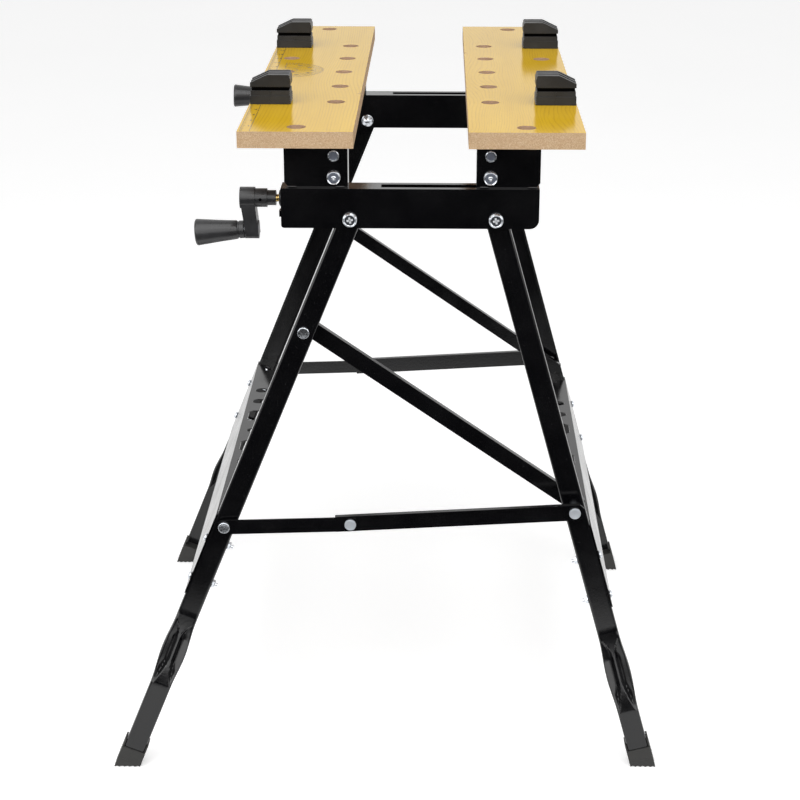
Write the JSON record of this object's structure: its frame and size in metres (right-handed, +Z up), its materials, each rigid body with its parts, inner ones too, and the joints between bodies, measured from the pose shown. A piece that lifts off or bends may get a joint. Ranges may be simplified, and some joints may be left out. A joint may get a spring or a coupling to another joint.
{
  "type": "folding clamping workbench",
  "caption": "Folding workbench with a worktop split into jaws that cranks clamp together, bench dogs, and splayed channel legs with braces, locking stays and tool-holding cross panels.",
  "frame": {"origin": "centre of the object's footprint box, on the floor under the feet", "axes": "+Z up; +X across the jaws from the crank end and fixed jaw towards the moving jaw; Y along the jaws, near end negative"},
  "size_m": [0.5764, 0.605, 0.7246],
  "materials": {
    "worktop_laminate": "varnished wood-print laminate on medium-density fibreboard",
    "gloss_black_steel": "gloss black powder coat",
    "zinc_steel": "bright zinc plate",
    "yellow_zinc_steel": "yellow zinc plate",
    "crank_plastic": "satin black moulding",
    "dog_plastic": "satin charcoal moulding",
    "foot_rubber": "matt moulded rubber"
  },
  "bodies": {
    "frame": {"worktop_left": "worktop_laminate", "bracket_left_near": "gloss_black_steel", "bracket_left_far": "gloss_black_steel", "beam_near": "gloss_black_steel", "beam_far": "gloss_black_steel", "beam_end_plate_near": "gloss_black_steel", "beam_end_plate_far": "gloss_black_steel", "screw_bushes": "crank_plastic", "leg_pivot_screws": "zinc_steel", "leg_pivot_nuts": "zinc_steel", "bracket_bolts_left": "zinc_steel", "bracket_rivets_left": "zinc_steel", "worktop_screws_left": "zinc_steel"},
    "moving_jaw": {"worktop_right": "worktop_laminate", "bracket_right_near": "gloss_black_steel", "bracket_right_far": "gloss_black_steel", "bracket_bolts_right": "zinc_steel", "bracket_rivets_right": "zinc_steel", "worktop_screws_right": "zinc_steel", "jaw_nut_near": "yellow_zinc_steel", "jaw_nut_far": "yellow_zinc_steel"},
    "left_legs": {"leg_left_near": "gloss_black_steel", "leg_left_far": "gloss_black_steel", "foot_left_near": "foot_rubber", "foot_left_far": "foot_rubber", "cross_panel_left": "gloss_black_steel", "panel_bolts_left": "zinc_steel", "panel_nuts_left": "zinc_steel", "link_rivets_left": "zinc_steel"},
    "right_legs": {"leg_right_near": "gloss_black_steel", "leg_right_far": "gloss_black_steel", "foot_right_near": "foot_rubber", "foot_right_far": "foot_rubber", "cross_panel_right": "gloss_black_steel", "panel_bolts_right": "zinc_steel", "panel_nuts_right": "zinc_steel", "link_rivets_right": "zinc_steel"},
    "crank_unit_near": {"lead_screw_near": "yellow_zinc_steel", "crank_near": "crank_plastic", "crank_pin_near": "zinc_steel", "grip_axle_near": "zinc_steel"},
    "grip_unit_near": {"grip_near": "crank_plastic"},
    "brace_bar_near": {"brace_near": "gloss_black_steel"},
    "stay_short_bar_near": {"stay_short_near": "gloss_black_steel"},
    "stay_long_bar_near": {"stay_long_near": "gloss_black_steel", "stay_rivets_near": "zinc_steel"},
    "dog_unit_left_near": {"dog_left_near": "dog_plastic"},
    "dog_unit_right_near": {"dog_right_near": "dog_plastic"},
    "crank_unit_far": {"lead_screw_far": "yellow_zinc_steel", "crank_far": "crank_plastic", "crank_pin_far": "zinc_steel", "grip_axle_far": "zinc_steel"},
    "grip_unit_far": {"grip_far": "crank_plastic"},
    "brace_bar_far": {"brace_far": "gloss_black_steel"},
    "stay_short_bar_far": {"stay_short_far": "gloss_black_steel"},
    "stay_long_bar_far": {"stay_long_far": "gloss_black_steel", "stay_rivets_far": "zinc_steel"},
    "dog_unit_left_far": {"dog_left_far": "dog_plastic"},
    "dog_unit_right_far": {"dog_right_far": "dog_plastic"}
  },
  "joints": [
    {"name": "leg_fold", "type": "hinge", "parent": "frame", "child": "left_legs", "pos_m": [-0.03272, -0.24195, 0.5964], "axis": [0, -1, 0], "range_deg": [0, 105.1]},
    {"name": "right_leg_fold", "type": "hinge", "parent": "frame", "child": "right_legs", "pos_m": [0.10888, -0.23085, 0.5964], "axis": [0, -1, 0], "range_deg": [0, 67.7]},
    {"name": "brace_near_swing", "type": "hinge", "parent": "left_legs", "child": "brace_bar_near", "pos_m": [-0.0799, -0.2174, 0.48021], "axis": [0, -1, 0], "range_deg": [-74.2, 0]},
    {"name": "stay_short_near_swing", "type": "hinge", "parent": "left_legs", "child": "stay_short_bar_near", "pos_m": [-0.16474, -0.2474, 0.27128], "axis": [0, -1, 0], "range_deg": [0, 43.1]},
    {"name": "stay_long_near_swing", "type": "hinge", "parent": "stay_short_bar_near", "child": "stay_long_bar_near", "pos_m": [-0.03492, -0.2456, 0.27585], "axis": [0, -1, 0], "range_deg": [-166.6, 0]},
    {"name": "brace_far_swing", "type": "hinge", "parent": "left_legs", "child": "brace_bar_far", "pos_m": [-0.0799, 0.2174, 0.48021], "axis": [0, -1, 0], "range_deg": [-74.2, 0]},
    {"name": "stay_short_far_swing", "type": "hinge", "parent": "left_legs", "child": "stay_short_bar_far", "pos_m": [-0.16474, 0.2474, 0.27128], "axis": [0, -1, 0], "range_deg": [0, 43.1]},
    {"name": "stay_long_far_swing", "type": "hinge", "parent": "stay_short_bar_far", "child": "stay_long_bar_far", "pos_m": [-0.03492, 0.2456, 0.27585], "axis": [0, -1, 0], "range_deg": [-166.6, 0]},
    {"name": "crank_near_turn", "type": "hinge", "parent": "frame", "child": "crank_unit_near", "pos_m": [-0.11952, -0.2315, 0.6147], "axis": [1, 0, 0], "range_deg": [0, 9451]},
    {"name": "crank_far_turn", "type": "hinge", "parent": "frame", "child": "crank_unit_far", "pos_m": [-0.11952, 0.2315, 0.6147], "axis": [1, 0, 0], "range_deg": [0, 9451]},
    {"name": "jaw_slide", "type": "slide", "parent": "frame", "child": "moving_jaw", "axis": [-1, 0, 0], "range_m": [0, 0.105]},
    {"name": "grip_near_spin", "type": "hinge", "parent": "crank_unit_near", "child": "grip_unit_near", "pos_m": [-0.13572, -0.2315, 0.583], "axis": [0.9974, 0, 0.0715], "continuous": true},
    {"name": "dog_left_near_swivel", "type": "hinge", "parent": "frame", "child": "dog_unit_left_near", "pos_m": [-0.11122, -0.162, 0.688], "axis": [0, 0, 1], "continuous": true},
    {"name": "dog_right_near_swivel", "type": "hinge", "parent": "moving_jaw", "child": "dog_unit_right_near", "pos_m": [0.16568, -0.162, 0.688], "axis": [0, 0, 1], "continuous": true},
    {"name": "grip_far_spin", "type": "hinge", "parent": "crank_unit_far", "child": "grip_unit_far", "pos_m": [-0.14112, 0.20277, 0.6281], "axis": [0.9974, 0.0648, -0.0302], "continuous": true},
    {"name": "dog_left_far_swivel", "type": "hinge", "parent": "frame", "child": "dog_unit_left_far", "pos_m": [-0.11122, 0.162, 0.688], "axis": [0, 0, 1], "continuous": true},
    {"name": "dog_right_far_swivel", "type": "hinge", "parent": "moving_jaw", "child": "dog_unit_right_far", "pos_m": [0.16568, 0.162, 0.688], "axis": [0, 0, 1], "continuous": true}
  ],
  "couplings": [
    {"joint": "right_leg_fold", "follows": "leg_fold", "ratio": 0.64361},
    {"joint": "brace_near_swing", "follows": "leg_fold", "ratio": -0.70551},
    {"joint": "stay_short_near_swing", "follows": "leg_fold", "ratio": 0.40877},
    {"joint": "stay_long_near_swing", "follows": "leg_fold", "ratio": -1.5847},
    {"joint": "brace_far_swing", "follows": "leg_fold", "ratio": -0.70551},
    {"joint": "stay_short_far_swing", "follows": "leg_fold", "ratio": 0.40877},
    {"joint": "stay_long_far_swing", "follows": "leg_fold", "ratio": -1.5847},
    {"joint": "crank_near_turn", "follows": "jaw_slide", "rad_per_m": 1570.8},
    {"joint": "crank_far_turn", "follows": "jaw_slide", "rad_per_m": 1570.8}
  ]
}
